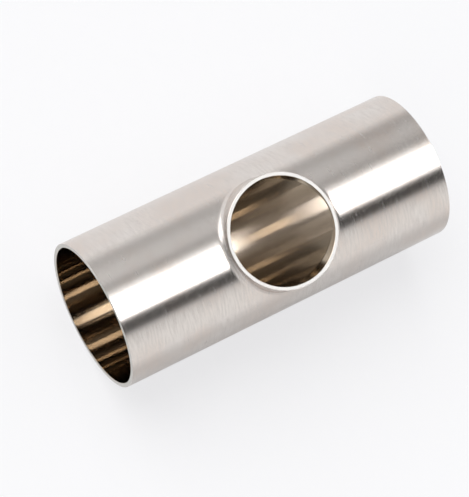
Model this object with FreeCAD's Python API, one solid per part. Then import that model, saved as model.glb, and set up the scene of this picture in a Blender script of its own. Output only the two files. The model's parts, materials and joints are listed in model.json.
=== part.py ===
import FreeCAD, Part
import os

from FreeCAD import Placement, Rotation, Vector

# A weld tee for sanitary tubing: a short reducing tee in stainless steel.
#
# The tee is one piece of tube. Its outlet is drawn out of the wall of the run,
# so the wall turns from the run into the outlet round one smooth blend, with no
# seam. All three ends are plain tube ends, faced square and deburred, ready to
# be butt welded.
#
# The run is upright along Z, so the tee stands on one of its ends, and the
# outlet points along X. The origin is the point where the two tube axes cross.
# Lengths are in millimetres.

# Sizes of the two tubes
run_diameter = 50.8
run_wall = 1.5
outlet_diameter = 38.1
# Drawing the outlet out of the run leaves its wall a little thinner
outlet_wall = 1.2

# Reach of the ends: from the crossing to a run end, and out of the run's side
centre_to_run_end = 61.0
collar_rise = 2.4

# Blend of the outlet, the straight land above it, and the break on the cut ends
outlet_blend_radius = 2.2
straight_land = 0.1
edge_break = 0.1

# Overrun of the bores past the ends that they open
bore_overrun = 5.0

crossing = Vector(0, 0, 0)
along_run = Vector(0, 0, 1)
along_outlet = Vector(1, 0, 0)
across = along_run.cross(along_outlet)

run_radius = run_diameter / 2
outlet_radius = outlet_diameter / 2
run_bore_radius = run_radius - run_wall
outlet_bore_radius = outlet_radius - outlet_wall
centre_to_outlet_face = run_radius + collar_rise

# Each blend stops below the land, so that the outlet ends as a short straight tube
blend_top = centre_to_outlet_face - edge_break - straight_land
outer_blend = min(outlet_blend_radius, blend_top - run_radius)
# The bore's blend is larger by the wall, so the wall keeps its thickness round the bend
mean_wall = (run_wall + outlet_wall) / 2
bore_blend = min(outer_blend + mean_wall, blend_top - run_bore_radius)


def round_bar(radius, start, end):
    """A cylinder between two points. The line where its round face closes lies at the side."""
    bar = Part.makeCylinder(radius, (end - start).Length)
    bar.Placement = Placement(start, Rotation(across, Vector(), end - start, "ZXY"))
    return bar


def tee_form(run_r, outlet_r, run_reach, outlet_reach, blend):
    """A solid run with a solid outlet on its side, blended where their round faces cross."""
    run = round_bar(run_r, along_run * -run_reach, along_run * run_reach)
    outlet = round_bar(outlet_r, crossing, along_outlet * outlet_reach)
    form = run.fuse(outlet)
    # The crossing is the only edge that is neither straight nor a circle
    crossing_edges = [e for e in form.Edges if not isinstance(e.Curve, (Part.Line, Part.Circle))]
    return form.makeFillet(blend, crossing_edges)


def make_tee():
    """The outer form less the form of its bores, with a light break on the rims of its flat ends."""
    outside = tee_form(
        run_radius,
        outlet_radius,
        centre_to_run_end,
        centre_to_outlet_face,
        outer_blend,
    )
    bores = tee_form(
        run_bore_radius,
        outlet_bore_radius,
        centre_to_run_end + bore_overrun,
        centre_to_outlet_face + bore_overrun,
        bore_blend,
    )
    tee = outside.cut(bores)
    flat_ends = [face for face in tee.Faces if isinstance(face.Surface, Part.Plane)]
    rims = [edge for face in flat_ends for edge in face.Edges]
    return tee.makeChamfer(edge_break, rims).Solids[0]


tee_body = make_tee()

os.makedirs("parts", exist_ok=True)
tee_body.exportStep("parts/tee_body.step")

print("valid", tee_body.isValid(), "faces", len(tee_body.Faces))
print("volume mm3", round(tee_body.Volume, 1), "centre of mass", tee_body.CenterOfMass)
print("box", tee_body.BoundBox)
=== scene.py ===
import json
import math

import bpy
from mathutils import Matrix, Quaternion, Vector


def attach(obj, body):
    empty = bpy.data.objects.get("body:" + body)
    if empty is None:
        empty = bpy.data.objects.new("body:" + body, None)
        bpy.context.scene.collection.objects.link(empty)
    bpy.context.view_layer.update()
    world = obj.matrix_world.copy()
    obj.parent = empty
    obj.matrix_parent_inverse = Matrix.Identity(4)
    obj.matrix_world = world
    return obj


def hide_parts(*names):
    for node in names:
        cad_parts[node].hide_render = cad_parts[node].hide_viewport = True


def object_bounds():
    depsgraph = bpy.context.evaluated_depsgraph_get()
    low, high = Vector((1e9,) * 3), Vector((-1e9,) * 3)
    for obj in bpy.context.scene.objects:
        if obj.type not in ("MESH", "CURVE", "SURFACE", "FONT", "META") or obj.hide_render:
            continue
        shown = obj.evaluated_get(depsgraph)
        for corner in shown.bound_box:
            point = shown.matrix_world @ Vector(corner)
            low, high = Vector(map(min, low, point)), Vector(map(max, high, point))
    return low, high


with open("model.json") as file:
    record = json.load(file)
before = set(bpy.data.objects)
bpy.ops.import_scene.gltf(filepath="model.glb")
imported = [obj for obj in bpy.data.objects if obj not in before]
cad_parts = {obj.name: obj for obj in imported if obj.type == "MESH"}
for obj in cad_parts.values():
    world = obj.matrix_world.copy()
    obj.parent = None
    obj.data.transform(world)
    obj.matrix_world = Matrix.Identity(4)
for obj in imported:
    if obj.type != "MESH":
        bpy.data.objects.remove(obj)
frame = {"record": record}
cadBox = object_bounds()

scene = bpy.context.scene
mm = 0.001
plainWhite = (1, 1, 1, 1)


def addNode(tree, kind, links=None, **settings):
    # adds one node, with its settings, and feeds its sockets from values, sockets or other nodes
    node = tree.nodes.new(kind)
    for name, value in settings.items():
        setattr(node, name, value)
    for socket, value in (links or {}).items():
        if isinstance(value, bpy.types.Node):
            value = value.outputs[0]
        if isinstance(value, bpy.types.NodeSocket):
            tree.links.new(value, node.inputs[socket])
        else:
            node.inputs[socket].default_value = value
    return node


def finishColour(hexText):
    # sRGB hex to the linear colour that a shader socket takes
    parts = [int(hexText[i:i + 2], 16) / 255 for i in (1, 3, 5)]
    linear = [c / 12.92 if c <= 0.04045 else ((c + 0.055) / 1.055) ** 2.4 for c in parts]
    return (*linear, 1.0)


def makeRamp(tree, position, points):
    # reads a level off a list of points, for a position between the first and the last of them
    start, end = points[0][0], points[-1][0]
    peak = max(level for _, level in points)
    share = addNode(tree, "ShaderNodeMapRange", {0: position, 1: start, 2: end})
    shade = addNode(tree, "ShaderNodeFloatCurve", {1: share})
    curve = shade.mapping.curves[0]
    # a new curve has two points, and the others start in its middle
    for _ in points[2:]:
        curve.points.new(0.5, 0.5)
    for point, (place, level) in zip(curve.points, points):
        point.location = ((place - start) / (end - start), level / peak)
        point.handle_type = "VECTOR"
    shade.mapping.update()
    return addNode(tree, "ShaderNodeMath", {0: shade, 1: peak}, operation="MULTIPLY")


def makePatch(tree, position, span, edge):
    # one inside the span, fading to nought over the edge outside it
    first, last = span
    rise = addNode(tree, "ShaderNodeMapRange", {
        0: position, 1: first - edge, 2: first,
    }, interpolation_type="SMOOTHSTEP")
    fall = addNode(tree, "ShaderNodeMapRange", {
        0: position, 1: last + edge, 2: last,
    }, interpolation_type="SMOOTHSTEP")
    return addNode(tree, "ShaderNodeMath", {0: rise, 1: fall}, operation="MULTIPLY")


def makePlace(tree):
    # where a point of the object lies, in millimetres across the run (Y) and along it (Z)
    place = addNode(tree, "ShaderNodeTexCoord")
    metres = addNode(tree, "ShaderNodeSeparateXYZ", {0: place.outputs["Object"]})
    return [
        addNode(tree, "ShaderNodeMath", {0: metres.outputs[axis], 1: mm}, operation="DIVIDE")
        for axis in (1, 2)
    ]


def makeField(tree, place, field):
    # one on a soft-edged rectangle that is given in millimetres across and along
    across, along = place
    return addNode(tree, "ShaderNodeMath", {
        0: makePatch(tree, across, field["across"], field["edge"]),
        1: makePatch(tree, along, field["along"], field["edge"]),
    }, operation="MULTIPLY")


# Finishes

# turns: both walls are worked round the tube, and their shine is drawn out a quarter turn from that
shineTurn = 0.25

brushedOutside = {
    "colour": "#DFD9D4",
    "roughness": 0.25,
    "anisotropy": 0.9,
    "warm": "#DBD0C8",          # the belt has heated it unevenly, so some patches are a little warmer
    "warmFrom": (0.35, 0.65),   # noise where a patch starts and where it is full
    "patchSize": 16,            # mm
    "marked": "#D5CEC9",        # the deeper brush marks are darker
    "markedFrom": (0.35, 0.75),
    "markPitch": 0.6,           # mm between brush marks, coarser than the real ones so that they show
    "markLength": 5,            # mm
    "markDepth": 0.0015,        # mm
    "roughnessSpread": 0.1,     # share that the roughness falls and rises by over the marks
    "spreadFrom": (0.3, 0.7),   # noise where it is lowest and where it is highest
    "waveLength": 30,           # mm, of the dips that the belt leaves
    "waveDepth": 0.08,          # mm
}


def makeBrushedSteel(look):
    # AISI 304 tube, belt brushed round it: highlights stretch along the tube and stay crisp across it
    material = bpy.data.materials.new("brushed stainless")
    material.use_nodes = True
    tree = material.node_tree
    shader = tree.nodes["Principled BSDF"]
    shader.inputs["Metallic"].default_value = 1.0
    shader.inputs["Anisotropic"].default_value = look["anisotropy"]
    shader.inputs["Anisotropic Rotation"].default_value = shineTurn
    around = addNode(tree, "ShaderNodeTangent", direction_type="RADIAL", axis="Z")
    tree.links.new(around.outputs[0], shader.inputs["Tangent"])
    place = addNode(tree, "ShaderNodeTexCoord").outputs["Object"]

    patches = addNode(tree, "ShaderNodeTexNoise", {
        "Vector": place, "Scale": 1 / (look["patchSize"] * mm), "Detail": 2.0,
    })
    starts, full = look["warmFrom"]
    warmth = addNode(tree, "ShaderNodeMapRange", {
        0: patches, 1: starts, 2: full,
    }, interpolation_type="SMOOTHSTEP")
    # the marks run round the tube, so their noise is squeezed along it
    aroundTube, alongTube = 1 / (look["markLength"] * mm), 1 / (look["markPitch"] * mm)
    squeezed = addNode(tree, "ShaderNodeMapping", {
        "Vector": place, "Scale": (aroundTube, aroundTube, alongTube),
    })
    marks = addNode(tree, "ShaderNodeTexNoise", {"Vector": squeezed, "Scale": 1.0, "Detail": 3.0})
    starts, full = look["markedFrom"]
    deep = addNode(tree, "ShaderNodeMapRange", {
        0: marks, 1: starts, 2: full,
    }, interpolation_type="SMOOTHSTEP")
    plain = addNode(tree, "ShaderNodeMix", {
        0: warmth, 6: finishColour(look["colour"]), 7: finishColour(look["warm"]),
    }, data_type="RGBA")
    colour = addNode(tree, "ShaderNodeMix", {
        0: deep, 6: plain.outputs[2], 7: finishColour(look["marked"]),
    }, data_type="RGBA")
    tree.links.new(colour.outputs[2], shader.inputs["Base Color"])

    starts, full = look["spreadFrom"]
    smoothest = look["roughness"] * (1 - look["roughnessSpread"])
    roughest = look["roughness"] * (1 + look["roughnessSpread"])
    roughness = addNode(tree, "ShaderNodeMapRange", {
        0: marks, 1: starts, 2: full, 3: smoothest, 4: roughest,
    })
    tree.links.new(roughness.outputs[0], shader.inputs["Roughness"])

    waves = addNode(tree, "ShaderNodeTexNoise", {
        "Vector": place, "Scale": 1 / (look["waveLength"] * mm), "Detail": 1.0,
    })
    dips = addNode(tree, "ShaderNodeBump", {"Height": waves, "Distance": look["waveDepth"] * mm})
    scratches = addNode(tree, "ShaderNodeBump", {
        "Height": marks, "Distance": look["markDepth"] * mm, "Normal": dips,
    })
    tree.links.new(scratches.outputs[0], shader.inputs["Normal"])
    return material


polishedBore = {
    "colour": "#C6BDB1",
    "roughness": 0.07,
    "anisotropy": 1.0,
    # opposite the outlet the drawing tool has dulled the polish, which gives it a share of a wider shine
    "haze": {
        "colour": "#DACABA",
        "roughness": 0.24,
        "share": 0.50,
        "across": (-9, 5),       # mm
        "along": (-40, 40),      # mm
        "edge": 6,               # mm
    },
}


def makePolishedSteel(look):
    # the bore is polished round and round: a mirror across the tube, drawn out along it, so the light that
    # bounces down it makes stripes, warmer and darker with each bounce
    material = bpy.data.materials.new("polished stainless")
    material.use_nodes = True
    tree = material.node_tree
    around = addNode(tree, "ShaderNodeTangent", direction_type="RADIAL", axis="Z")
    mirror = tree.nodes["Principled BSDF"]
    hazed = addNode(tree, "ShaderNodeBsdfPrincipled")
    for shader, finish in ((mirror, look), (hazed, look["haze"])):
        shader.inputs["Base Color"].default_value = finishColour(finish["colour"])
        shader.inputs["Metallic"].default_value = 1.0
        shader.inputs["Roughness"].default_value = finish["roughness"]
        shader.inputs["Anisotropic"].default_value = look["anisotropy"]
        shader.inputs["Anisotropic Rotation"].default_value = shineTurn
        tree.links.new(around.outputs[0], shader.inputs["Tangent"])

    dulled = makeField(tree, makePlace(tree), look["haze"])
    hazy = addNode(tree, "ShaderNodeMath", {0: dulled, 1: look["haze"]["share"]}, operation="MULTIPLY")
    # only the wall that the camera sees first is hazed, so that the stripes deeper down stay crisp
    isCamera = addNode(tree, "ShaderNodeLightPath").outputs["Is Camera Ray"]
    share = addNode(tree, "ShaderNodeMath", {0: hazy, 1: isCamera}, operation="MULTIPLY")
    both = addNode(tree, "ShaderNodeMixShader", {0: share, 1: mirror, 2: hazed})
    tree.links.new(both.outputs[0], tree.nodes["Material Output"].inputs["Surface"])
    return material


facedEnds = {
    "run": "#D4D2CE",
    # darker than the run ends only as painted shade: both are the same faced steel
    "outlet": "#A9A7A5",
    "roughness": 0.60,
}


def makeFacedSteel(look, end):
    # the ends are turned square, which leaves them duller than the walls; the outlet's face gets a darker
    # colour than the run ends, a painted shade that tones down the strong studio light it mirrors
    material = bpy.data.materials.new("faced stainless, " + end)
    material.use_nodes = True
    shader = material.node_tree.nodes["Principled BSDF"]
    shader.inputs["Base Color"].default_value = finishColour(look[end])
    shader.inputs["Metallic"].default_value = 1.0
    shader.inputs["Roughness"].default_value = look["roughness"]
    return material


brushedSteel = makeBrushedSteel(brushedOutside)
polishedSteel = makePolishedSteel(polishedBore)
facedSteel = {end: makeFacedSteel(facedEnds, end) for end in ("run", "outlet")}
print("finishes made")


# The tee, from the frame's sizes: one wall between an outer skin and the skin of its bores

# mm, the bores' radii from the frame's mounts
mountSizes = {mount["name"]: mount["dims"] for mount in frame["record"]["mounts"]}
runBore, outletBore = [mountSizes[name]["r_mm"] for name in ("run_bore", "outlet_bore")]
# mm, the part's own sizes that the frame doesn't hold
drawnOutlet = {
    "wall": 1.2,
    "blend": 2.2,
    "edgeBreak": 0.1,
}
runWall = cadBox[1].y / mm - runBore
# the bore's blend is larger by the mean wall, so that the wall keeps its thickness round the bend
boreBlend = drawnOutlet["blend"] + (runWall + drawnOutlet["wall"]) / 2

teeSizes = {
    "Run Radius": cadBox[1].y,
    "Run Bore Radius": runBore * mm,
    "Outlet Radius": (outletBore + drawnOutlet["wall"]) * mm,
    "Outlet Bore Radius": outletBore * mm,
    "Outer Blend": drawnOutlet["blend"] * mm,
    "Bore Blend": boreBlend * mm,
    "Centre to Run End": cadBox[1].z,
    "Centre to Outlet Face": cadBox[1].x,
    "Edge Break": drawnOutlet["edgeBreak"] * mm,
}
mesh = {
    "columns": 480,        # round the outlet, a multiple of six; a third of them end on each end of the run
    "blendRows": 12,
    "fieldRows": 60,
    "joinWithin": 0.01,    # mm
    "sharpFrom": 20,       # degrees between two faces
}


def makeSkinTree():
    # one skin of the tee as a single sheet: down the outlet, round the blend, then out over the whole run
    tree = bpy.data.node_groups.new("tee skin", "GeometryNodeTree")
    for name in ("Run Radius", "Outlet Radius", "Blend", "Run Reach", "Outlet Reach"):
        tree.interface.new_socket(name, in_out="INPUT", socket_type="NodeSocketFloat")
    tree.interface.new_socket("Faces Inwards", in_out="INPUT", socket_type="NodeSocketBool")
    tree.interface.new_socket("Skin", in_out="OUTPUT", socket_type="NodeSocketGeometry")
    size = tree.nodes.new("NodeGroupInput").outputs

    # one row for the straight top of the outlet, then those of the blend and of the run
    rows = 1 + mesh["blendRows"] + mesh["fieldRows"]
    sheet = addNode(tree, "GeometryNodeMeshGrid", {
        "Size X": 1.0,
        "Size Y": 1.0,
        "Vertices X": mesh["columns"] + 1,
        "Vertices Y": rows + 1,
    })
    uv = addNode(tree, "ShaderNodeSeparateXYZ", {0: sheet.outputs["UV Map"]})
    turn, row = uv.outputs[0], uv.outputs[1]

    # how far each point is up the outlet, round the blend, and out over the run
    blendStarts, blendEnds = 1 / rows, (1 + mesh["blendRows"]) / rows
    upOutlet = addNode(tree, "ShaderNodeMapRange", {0: row, 1: 0.0, 2: blendStarts, 3: 1.0, 4: 0.0})
    roundBlend = addNode(tree, "ShaderNodeMapRange", {0: row, 1: blendStarts, 2: blendEnds})
    overRun = addNode(tree, "ShaderNodeMapRange", {0: row, 1: blendEnds, 2: 1.0})

    # centre of the ball that rolls along the crossing, touching both tubes
    halfTurn, wholeTurn = math.pi, 2 * math.pi
    angle = addNode(tree, "ShaderNodeMath", {0: turn, 1: wholeTurn}, operation="MULTIPLY")
    sine = addNode(tree, "ShaderNodeMath", {0: angle}, operation="SINE")
    cosine = addNode(tree, "ShaderNodeMath", {0: angle}, operation="COSINE")
    blend = size["Blend"]
    fromOutlet = addNode(tree, "ShaderNodeMath", {0: size["Outlet Radius"], 1: blend}, operation="ADD")
    fromRun = addNode(tree, "ShaderNodeMath", {0: size["Run Radius"], 1: blend}, operation="ADD")
    ballY = addNode(tree, "ShaderNodeMath", {0: fromOutlet, 1: sine}, operation="MULTIPLY")
    ballZ = addNode(tree, "ShaderNodeMath", {0: fromOutlet, 1: cosine}, operation="MULTIPLY")
    aside = addNode(tree, "ShaderNodeMath", {0: ballY, 1: fromRun}, operation="DIVIDE")
    lean = addNode(tree, "ShaderNodeMath", {0: aside}, operation="ARCSINE")
    leanCosine = addNode(tree, "ShaderNodeMath", {0: lean}, operation="COSINE")
    ballX = addNode(tree, "ShaderNodeMath", {0: leanCosine, 1: fromRun}, operation="MULTIPLY")
    ball = addNode(tree, "ShaderNodeCombineXYZ", {0: ballX, 1: ballY, 2: ballZ})

    # from the ball, the blend runs between the way to the outlet's axis and the way to the run's axis
    outwards = addNode(tree, "ShaderNodeCombineXYZ", {0: 0.0, 1: sine, 2: cosine})
    runwards = addNode(tree, "ShaderNodeCombineXYZ", {0: leanCosine, 1: aside, 2: 0.0})
    between = addNode(tree, "ShaderNodeMix", {0: roundBlend, 4: outwards, 5: runwards}, data_type="VECTOR")
    way = addNode(tree, "ShaderNodeVectorMath", {0: between.outputs[1]}, operation="NORMALIZE")
    inwards = addNode(tree, "ShaderNodeMath", {0: blend, 1: -1.0}, operation="MULTIPLY")
    offset = addNode(tree, "ShaderNodeVectorMath", {0: way, 3: inwards}, operation="SCALE")
    onBlend = addNode(tree, "ShaderNodeVectorMath", {0: ball, 1: offset}, operation="ADD")
    above = addNode(tree, "ShaderNodeMath", {0: size["Outlet Reach"], 1: ballX}, operation="SUBTRACT")
    lift = addNode(tree, "ShaderNodeMath", {0: above, 1: upOutlet}, operation="MULTIPLY")
    liftWay = addNode(tree, "ShaderNodeCombineXYZ", {0: lift})
    onOutlet = addNode(tree, "ShaderNodeVectorMath", {0: onBlend, 1: liftWay}, operation="ADD")

    # unrolled, the sheet's far edge goes once round a rectangle: half the upper end, down the line at the
    # back, round the lower end, up the line again, and the other half of the upper end
    downStarts, lowerStarts, upStarts, upperStarts = 1 / 6, 1 / 3, 2 / 3, 5 / 6
    toBack = addNode(tree, "ShaderNodeMapRange", {0: turn, 1: 0.0, 2: downStarts, 3: 0.0, 4: halfTurn})
    roundLower = addNode(tree, "ShaderNodeMapRange", {
        0: turn, 1: lowerStarts, 2: upStarts, 3: 0.0, 4: -wholeTurn,
    })
    fromBack = addNode(tree, "ShaderNodeMapRange", {0: turn, 1: upperStarts, 2: 1.0, 3: 0.0, 4: halfTurn})
    firstPart = addNode(tree, "ShaderNodeMath", {0: toBack, 1: roundLower}, operation="ADD")
    edgeAngle = addNode(tree, "ShaderNodeMath", {0: firstPart, 1: fromBack}, operation="ADD")
    downBack = addNode(tree, "ShaderNodeMapRange", {
        0: turn, 1: downStarts, 2: lowerStarts, 3: 1.0, 4: -1.0,
    })
    upBack = addNode(tree, "ShaderNodeMapRange", {
        0: turn, 1: upStarts, 2: upperStarts, 3: 0.0, 4: 2.0,
    })
    edgeShare = addNode(tree, "ShaderNodeMath", {0: downBack, 1: upBack}, operation="ADD")
    edgeZ = addNode(tree, "ShaderNodeMath", {0: edgeShare, 1: size["Run Reach"]}, operation="MULTIPLY")
    runAngle = addNode(tree, "ShaderNodeMix", {0: overRun, 2: lean, 3: edgeAngle}, data_type="FLOAT")
    runZ = addNode(tree, "ShaderNodeMix", {0: overRun, 2: ballZ, 3: edgeZ}, data_type="FLOAT")
    runCosine = addNode(tree, "ShaderNodeMath", {0: runAngle}, operation="COSINE")
    runSine = addNode(tree, "ShaderNodeMath", {0: runAngle}, operation="SINE")
    runX = addNode(tree, "ShaderNodeMath", {0: runCosine, 1: size["Run Radius"]}, operation="MULTIPLY")
    runY = addNode(tree, "ShaderNodeMath", {0: runSine, 1: size["Run Radius"]}, operation="MULTIPLY")
    onRun = addNode(tree, "ShaderNodeCombineXYZ", {0: runX, 1: runY, 2: runZ})

    isOverRun = addNode(tree, "FunctionNodeCompare", {
        0: overRun, 1: 0.0,
    }, data_type="FLOAT", operation="GREATER_THAN")
    point = addNode(tree, "GeometryNodeSwitch", {0: isOverRun, 1: onOutlet, 2: onRun}, input_type="VECTOR")
    shaped = addNode(tree, "GeometryNodeSetPosition", {0: sheet.outputs["Mesh"], 2: point})
    turned = addNode(tree, "GeometryNodeFlipFaces", {0: shaped, 1: size["Faces Inwards"]})
    addNode(tree, "NodeGroupOutput", {0: turned})
    return tree


def makeFacedEndTree():
    # a ring face with its two broken edges, facing up, its face at height nought
    tree = bpy.data.node_groups.new("faced end", "GeometryNodeTree")
    for name in ("Outer Radius", "Inner Radius", "Edge Break"):
        tree.interface.new_socket(name, in_out="INPUT", socket_type="NodeSocketFloat")
    tree.interface.new_socket("Segments", in_out="INPUT", socket_type="NodeSocketInt")
    tree.interface.new_socket("Finish", in_out="INPUT", socket_type="NodeSocketMaterial")
    tree.interface.new_socket("Ring", in_out="OUTPUT", socket_type="NodeSocketGeometry")
    size = tree.nodes.new("NodeGroupInput").outputs

    outer, inner, edgeBreak = size["Outer Radius"], size["Inner Radius"], size["Edge Break"]
    faceOuter = addNode(tree, "ShaderNodeMath", {0: outer, 1: edgeBreak}, operation="SUBTRACT")
    faceInner = addNode(tree, "ShaderNodeMath", {0: inner, 1: edgeBreak}, operation="ADD")
    sunk = addNode(tree, "ShaderNodeMath", {0: edgeBreak, 1: -1.0}, operation="MULTIPLY")
    down = addNode(tree, "ShaderNodeCombineXYZ", {2: sunk})
    outerBreak = addNode(tree, "GeometryNodeMeshCone", {
        "Vertices": size["Segments"],
        "Radius Top": faceOuter,
        "Radius Bottom": outer,
        "Depth": edgeBreak,
    }, fill_type="NONE")
    innerBreak = addNode(tree, "GeometryNodeMeshCone", {
        "Vertices": size["Segments"],
        "Radius Top": faceInner,
        "Radius Bottom": inner,
        "Depth": edgeBreak,
    }, fill_type="NONE")
    innerTurned = addNode(tree, "GeometryNodeFlipFaces", {0: innerBreak})
    outerFinished = addNode(tree, "GeometryNodeSetMaterial", {
        "Geometry": outerBreak, "Material": brushedSteel,
    })
    innerFinished = addNode(tree, "GeometryNodeSetMaterial", {
        "Geometry": innerTurned, "Material": polishedSteel,
    })
    face = addNode(tree, "GeometryNodeMeshCone", {
        "Vertices": size["Segments"],
        "Radius Top": faceInner,
        "Radius Bottom": faceOuter,
        "Depth": 0.0,
    }, fill_type="NONE")
    faceFinished = addNode(tree, "GeometryNodeSetMaterial", {
        "Geometry": face, "Material": size["Finish"],
    })
    breaks = addNode(tree, "GeometryNodeJoinGeometry")
    tree.links.new(outerFinished.outputs[0], breaks.inputs[0])
    tree.links.new(innerFinished.outputs[0], breaks.inputs[0])
    lowered = addNode(tree, "GeometryNodeTransform", {"Geometry": breaks, "Translation": down})
    ring = addNode(tree, "GeometryNodeJoinGeometry")
    tree.links.new(lowered.outputs[0], ring.inputs[0])
    tree.links.new(faceFinished.outputs[0], ring.inputs[0])
    addNode(tree, "NodeGroupOutput", {0: ring})
    return tree


def makeTeeTree():
    # both skins and the three faced ends, joined into one closed wall
    tree = bpy.data.node_groups.new("weld tee", "GeometryNodeTree")
    for name in teeSizes:
        tree.interface.new_socket(name, in_out="INPUT", socket_type="NodeSocketFloat")
    tree.interface.new_socket("Tee", in_out="OUTPUT", socket_type="NodeSocketGeometry")
    size = tree.nodes.new("NodeGroupInput").outputs
    skinTree, endTree = makeSkinTree(), makeFacedEndTree()

    toRunEnd, toOutletFace = size["Centre to Run End"], size["Centre to Outlet Face"]
    edgeBreak = size["Edge Break"]
    runReach = addNode(tree, "ShaderNodeMath", {0: toRunEnd, 1: edgeBreak}, operation="SUBTRACT")
    outletReach = addNode(tree, "ShaderNodeMath", {0: toOutletFace, 1: edgeBreak}, operation="SUBTRACT")
    outside = addNode(tree, "GeometryNodeGroup", node_tree=skinTree)
    bores = addNode(tree, "GeometryNodeGroup", node_tree=skinTree)
    for skin, radius, blend, inwards in (
        (outside, " Radius", "Outer Blend", False),
        (bores, " Bore Radius", "Bore Blend", True),
    ):
        tree.links.new(size["Run" + radius], skin.inputs["Run Radius"])
        tree.links.new(size["Outlet" + radius], skin.inputs["Outlet Radius"])
        tree.links.new(size[blend], skin.inputs["Blend"])
        tree.links.new(runReach.outputs[0], skin.inputs["Run Reach"])
        tree.links.new(outletReach.outputs[0], skin.inputs["Outlet Reach"])
        skin.inputs["Faces Inwards"].default_value = inwards

    outletEnd = addNode(tree, "GeometryNodeGroup", node_tree=endTree)
    runEnd = addNode(tree, "GeometryNodeGroup", node_tree=endTree)
    # each ring has as many segments as the skins have columns there
    for end, tube, segments in (
        (outletEnd, "Outlet", mesh["columns"]),
        (runEnd, "Run", mesh["columns"] // 3),
    ):
        tree.links.new(size[tube + " Radius"], end.inputs["Outer Radius"])
        tree.links.new(size[tube + " Bore Radius"], end.inputs["Inner Radius"])
        tree.links.new(edgeBreak, end.inputs["Edge Break"])
        end.inputs["Segments"].default_value = segments
        end.inputs["Finish"].default_value = facedSteel[tube.lower()]
    toOutlet = addNode(tree, "ShaderNodeCombineXYZ", {0: toOutletFace})
    toUpper = addNode(tree, "ShaderNodeCombineXYZ", {2: toRunEnd})
    toLower = addNode(tree, "ShaderNodeVectorMath", {0: toUpper, 3: -1.0}, operation="SCALE")
    outletFace = addNode(tree, "GeometryNodeTransform", {
        "Geometry": outletEnd, "Translation": toOutlet, "Rotation": (0, math.pi / 2, 0),
    })
    upperFace = addNode(tree, "GeometryNodeTransform", {"Geometry": runEnd, "Translation": toUpper})
    lowerFace = addNode(tree, "GeometryNodeTransform", {
        "Geometry": runEnd, "Translation": toLower, "Rotation": (math.pi, 0, 0),
    })

    parts = addNode(tree, "GeometryNodeJoinGeometry")
    for face in (outletFace, upperFace, lowerFace):
        tree.links.new(face.outputs[0], parts.inputs[0])
    for skin, material in ((outside, brushedSteel), (bores, polishedSteel)):
        finished = addNode(tree, "GeometryNodeSetMaterial", {"Geometry": skin, "Material": material})
        tree.links.new(finished.outputs[0], parts.inputs[0])
    whole = addNode(tree, "GeometryNodeRealizeInstances", {0: parts})
    closed = addNode(tree, "GeometryNodeMergeByDistance", {
        "Geometry": whole, "Distance": mesh["joinWithin"] * mm,
    })
    smooth = addNode(tree, "GeometryNodeSetShadeSmooth", {"Geometry": closed, "Shade Smooth": True})
    bend = addNode(tree, "GeometryNodeInputMeshEdgeAngle")
    isSharp = addNode(tree, "FunctionNodeCompare", {
        0: bend, 1: math.radians(mesh["sharpFrom"]),
    }, data_type="FLOAT", operation="GREATER_THAN")
    crisp = addNode(tree, "GeometryNodeSetShadeSmooth", {
        "Geometry": smooth, "Selection": isSharp, "Shade Smooth": False,
    }, domain="EDGE")
    addNode(tree, "NodeGroupOutput", {0: crisp})
    return tree


def makeTee():
    # the tree is evaluated once, on a holder that is then removed, and its result is kept as a plain mesh
    holder = bpy.data.objects.new("teeShape", bpy.data.meshes.new("teeShape"))
    scene.collection.objects.link(holder)
    modifier = holder.modifiers.new("weld tee", "NODES")
    modifier.node_group = makeTeeTree()
    for socket in modifier.node_group.interface.items_tree:
        if socket.in_out == "INPUT":
            modifier[socket.identifier] = teeSizes[socket.name]
    evaluated = holder.evaluated_get(bpy.context.evaluated_depsgraph_get())
    shape = bpy.data.meshes.new_from_object(evaluated)
    bpy.data.objects.remove(holder)
    tee = bpy.data.objects.new("tee_wall", shape)
    scene.collection.objects.link(tee)
    return tee


tee = makeTee()
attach(tee, "root")
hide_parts("tee_body")
print("tee made,", len(tee.data.polygons), "faces")


# The white board that the tee lies against, close behind the run

board = {
    "colour": "#F5F5F6",
    "white": "#FBFBFD",
    "whitening": 0.65,       # how far the camera sees it as plain white, so that the shadow stays faint
    # mm towards +Y, and how bright the steel mirrors it there: a painted shade, darker on the -Y side where
    # the tee's shadow falls, that only the steel's reflections see
    "mirrored": [
        (-600, 1.00), (-400, 0.93), (-163, 0.82), (-110, 0.72),
        (-60, 0.78), (-35, 1.00), (30, 1.00), (600, 1.00),
    ],
    # mm across and along, where a painted shadow darkens the board below the lower end; only the steel's
    # reflections see it
    "paintedEndShadow": {"across": (-17, 17), "along": (-100, -66), "edge": 9, "shade": 0.35},
    # mm, close behind the run, where the board glows with painted light that only the steel's reflections
    # see, so that the run's back doesn't mirror the dark of the gap
    "paintedGlowBehindRun": {"across": (-16, 16), "along": (-58, 58), "edge": 6, "level": 0.75},
    "gap": 0.05,             # mm, so that the run doesn't dip into it
    "halfSide": 3.0,         # metres
}


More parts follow.
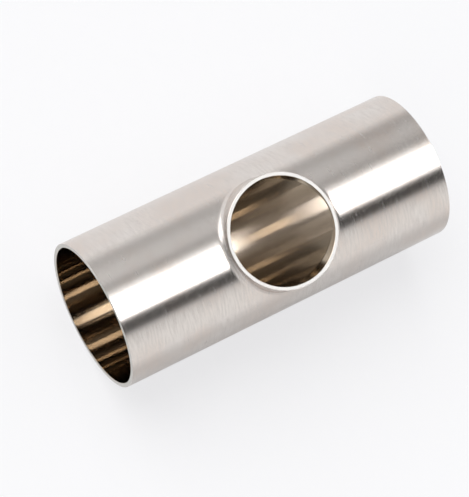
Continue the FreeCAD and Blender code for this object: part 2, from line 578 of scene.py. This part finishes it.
def makeBoard(look):
    # matt white card, which shows only from the front; in the steel's reflections it carries a painted
    # shade and a painted glow
    material = bpy.data.materials.new("white board")
    material.use_nodes = True
    tree = material.node_tree
    tree.nodes.clear()
    paint = addNode(tree, "ShaderNodeBsdfDiffuse")
    clear = addNode(tree, "ShaderNodeBsdfTransparent")
    white = addNode(tree, "ShaderNodeEmission", {"Color": finishColour(look["white"])})
    rays = addNode(tree, "ShaderNodeLightPath")
    isCamera, isMirrored = rays.outputs["Is Camera Ray"], rays.outputs["Is Glossy Ray"]
    across, along = makePlace(tree)

    paintedShadow, behind = look["paintedEndShadow"], look["paintedGlowBehindRun"]
    # a painted shade on the board, darker on the -Y side and below the lower end, which only glossy rays
    # see
    paintedBoardShade = makeRamp(tree, across, look["mirrored"])
    isPaintedEndShadow = makeField(tree, (across, along), paintedShadow)
    shade = addNode(tree, "ShaderNodeMix", {0: isPaintedEndShadow, 2: paintedBoardShade, 3: paintedShadow["shade"]}, data_type="FLOAT")
    paintedShadeInSteel = addNode(tree, "ShaderNodeMix", {0: isMirrored, 2: 1.0, 3: shade}, data_type="FLOAT")
    tint = addNode(tree, "ShaderNodeVectorMath", {
        0: finishColour(look["colour"])[:3], 3: paintedShadeInSteel,
    }, operation="SCALE")
    tree.links.new(tint.outputs[0], paint.inputs["Color"])
    share = addNode(tree, "ShaderNodeMath", {0: isCamera, 1: look["whitening"]}, operation="MULTIPLY")
    seen = addNode(tree, "ShaderNodeMixShader", {0: share, 1: paint, 2: white})

    # painted light: the board glows here, for glossy rays only, in place of the dark gap behind the run
    isPaintedGlow = makeField(tree, (across, along), behind)
    paintedGlowInSteel = addNode(tree, "ShaderNodeMath", {0: isPaintedGlow, 1: isMirrored}, operation="MULTIPLY")
    paintedGlow = addNode(tree, "ShaderNodeEmission", {
        "Color": finishColour(look["white"]), "Strength": behind["level"],
    })
    front = addNode(tree, "ShaderNodeMixShader", {0: paintedGlowInSteel, 1: seen, 2: paintedGlow})
    side = addNode(tree, "ShaderNodeNewGeometry")
    oneSided = addNode(tree, "ShaderNodeMixShader", {0: side.outputs["Backfacing"], 1: front, 2: clear})
    addNode(tree, "ShaderNodeOutputMaterial", {"Surface": oneSided})

    half = look["halfSide"]
    back = cadBox[0].x - look["gap"] * mm
    corners = [(back, -half, -half), (back, half, -half), (back, half, half), (back, -half, half)]
    shape = bpy.data.meshes.new("board")
    shape.from_pydata(corners, [], [(0, 1, 2, 3)])
    shape.materials.append(material)
    piece = bpy.data.objects.new("board", shape)
    scene.collection.objects.link(piece)
    return piece


makeBoard(board)
print("board set")


# The studio: what the steel mirrors depends only on the direction, round the run and up it

studio = {
    # degrees round the run from the outlet's side towards +Y, and how bright the studio is there
    "surround": [
        (-180, 0.95), (-86, 0.97), (-70, 0.98), (-60, 0.91), (-52, 0.81), (-48, 0.70), (-44, 0.46),
        (-39, 0.00), (-29, 0.00), (-24, 0.12), (-20, 0.48), (-17, 0.95), (-14, 1.60), (-11, 12.0),
        (11, 12.0), (14, 2.00), (17, 1.50), (21, 1.15), (25, 0.70), (29, 0.50), (33, 0.44), (40, 0.42),
        (50, 0.50), (57, 0.51), (64, 0.45), (70, 0.40), (75, 0.39), (80, 0.50), (86, 0.74), (92, 0.93),
        (180, 0.95),
    ],
    "boreBounces": 1,                # light that has mirrored more often than this has come down a bore
    # the surround for that light
    "beyondBore": [
        (-180, 1.00), (-115, 0.55), (-60, 0.55), (-38, 0.62), (-22, 0.68), (-18, 5.60),
        (15, 5.60), (20, 0.52), (60, 0.46), (105, 0.50), (120, 1.00), (180, 1.00),
    ],
    # degrees up the run, and how bright the studio gets there at most
    "ceiling": [
        (-90, 0.90), (-60, 1.20), (-45, 1.60), (-38, 12.0), (-12, 12.0), (-5, 1.60), (2, 1.05), (15, 0.80),
        (30, 0.65), (45, 0.50), (60, 0.38), (75, 0.25), (90, 0.20),
    ],
    "above": 0.85,                   # the even wall over the strips
    "aboveFrom": (-10, 14),          # degrees up, where it starts to show and where it hides the strips
    # degrees round and up; slant is how far a window climbs for each degree towards +Y
    "windows": [
        # above the camera and to the side, seen in the blend round the outlet
        {"round": (40, 145), "up": (16, 46), "slant": 0.25, "edge": 8, "level": 2.6},
        # beside the strip of light, seen through the outlet in the back of the bore
        {"round": (-18, -9), "up": (-14, -3), "slant": 0.0, "edge": 3, "level": 8.0},
    ],
    "fill": 0.60,                    # the plain level for all other light
}


def makeStudio(look):
    world = bpy.data.worlds.new("studio")
    world.use_nodes = True
    scene.world = world
    tree = world.node_tree
    tree.nodes.clear()
    way = addNode(tree, "ShaderNodeTexCoord")
    xyz = addNode(tree, "ShaderNodeSeparateXYZ", {0: way.outputs["Generated"]})
    angle = addNode(tree, "ShaderNodeMath", {0: xyz.outputs[1], 1: xyz.outputs[0]}, operation="ARCTAN2")
    turn = addNode(tree, "ShaderNodeMath", {0: angle}, operation="DEGREES")
    rise = addNode(tree, "ShaderNodeMath", {0: xyz.outputs[2]}, operation="ARCSINE")
    up = addNode(tree, "ShaderNodeMath", {0: rise}, operation="DEGREES")

    surround = makeRamp(tree, turn, look["surround"])
    ceiling = makeRamp(tree, up, look["ceiling"])
    starts, ends = look["aboveFrom"]
    isAbove = addNode(tree, "ShaderNodeMapRange", {
        0: up, 1: starts, 2: ends,
    }, interpolation_type="SMOOTHSTEP")
    wall = addNode(tree, "ShaderNodeMix", {0: isAbove, 2: surround, 3: look["above"]}, data_type="FLOAT")
    nearby = addNode(tree, "ShaderNodeMath", {0: wall, 1: ceiling}, operation="MINIMUM")
    for window in look["windows"]:
        middle = sum(window["round"]) / 2
        acrossWindow = makePatch(tree, turn, window["round"], window["edge"])
        fromMiddle = addNode(tree, "ShaderNodeMath", {0: turn, 1: middle}, operation="SUBTRACT")
        climb = addNode(tree, "ShaderNodeMath", {0: fromMiddle, 1: window["slant"]}, operation="MULTIPLY")
        height = addNode(tree, "ShaderNodeMath", {0: up, 1: climb}, operation="SUBTRACT")
        upWindow = makePatch(tree, height, window["up"], window["edge"])
        inWindow = addNode(tree, "ShaderNodeMath", {0: acrossWindow, 1: upWindow}, operation="MULTIPLY")
        nearby = addNode(tree, "ShaderNodeMix", {
            0: inWindow, 2: nearby, 3: window["level"],
        }, data_type="FLOAT")

    rays = addNode(tree, "ShaderNodeLightPath")
    deep = makeRamp(tree, turn, look["beyondBore"])
    beyondBore = addNode(tree, "ShaderNodeMath", {0: deep, 1: ceiling}, operation="MINIMUM")
    isDeep = addNode(tree, "ShaderNodeMath", {
        0: rays.outputs["Glossy Depth"], 1: look["boreBounces"],
    }, operation="GREATER_THAN")
    level = addNode(tree, "ShaderNodeMix", {0: isDeep, 2: nearby, 3: beyondBore}, data_type="FLOAT")
    mirrored = addNode(tree, "ShaderNodeBackground", {"Color": plainWhite, "Strength": level})
    plain = addNode(tree, "ShaderNodeBackground", {"Color": plainWhite, "Strength": look["fill"]})
    white = addNode(tree, "ShaderNodeBackground", {"Color": plainWhite, "Strength": 1.0})
    lit = addNode(tree, "ShaderNodeMixShader", {0: rays.outputs["Is Glossy Ray"], 1: plain, 2: mirrored})
    seen = addNode(tree, "ShaderNodeMixShader", {0: rays.outputs["Is Camera Ray"], 1: lit, 2: white})
    addNode(tree, "ShaderNodeOutputWorld", {"Surface": seen})


makeStudio(studio)

# a large lamp that throws the tee's shadow on the board; the steel doesn't mirror it
key = {
    "towards": (0.72, 0.62, 0.15),   # from the tee to the lamp
    "softness": 50,                  # degrees that the lamp spans
    "strength": 1.9,
}


def makeKey(look):
    data = bpy.data.lights.new("key", "SUN")
    data.angle = math.radians(look["softness"])
    data.energy = look["strength"]
    lamp = bpy.data.objects.new("key", data)
    lamp.rotation_mode = "QUATERNION"
    lamp.rotation_quaternion = Vector(look["towards"]).to_track_quat("Z", "Y")
    lamp.visible_glossy = False
    scene.collection.objects.link(lamp)


makeKey(key)
print("studio lit")


# The camera, at the photograph's angle

view = {
    "azimuth": 94.03,
    "elevation": 19.67,
    "roll": 115.70,
    "distance": 0.7904,      # metres towards the camera from the point where the tubes' axes cross
    "aim": (0.0, -0.00023, 0.0075),    # metres
    "focalPixels": 2398.0,
    "frameHeight": 497,      # pixels
    "sensor": 36.0,          # mm
    "clip": (0.05, 20.0),    # metres
}


def makeCamera(look):
    data = bpy.data.cameras.new("camera")
    data.sensor_width = look["sensor"]
    data.lens = look["focalPixels"] * data.sensor_width / look["frameHeight"]
    turn, rise = math.radians(look["azimuth"]), math.radians(look["elevation"])
    back = Vector((math.sin(turn) * math.cos(rise), -math.cos(turn) * math.cos(rise), math.sin(rise)))
    camera = bpy.data.objects.new("camera", data)
    camera.rotation_mode = "QUATERNION"
    roll = Quaternion((0, 0, 1), math.radians(-look["roll"]))
    camera.rotation_quaternion = back.to_track_quat("Z", "Y") @ roll
    aim = Vector(look["aim"])
    camera.location = aim + back * (look["distance"] - aim.dot(back))
    data.clip_start, data.clip_end = look["clip"]
    scene.collection.objects.link(camera)
    scene.camera = camera


makeCamera(view)
print("camera placed")

scene.view_settings.view_transform = "Standard"
mostBounces = 24    # enough for light that mirrors its way down the bore
scene.cycles.max_bounces = mostBounces
scene.cycles.glossy_bounces = mostBounces
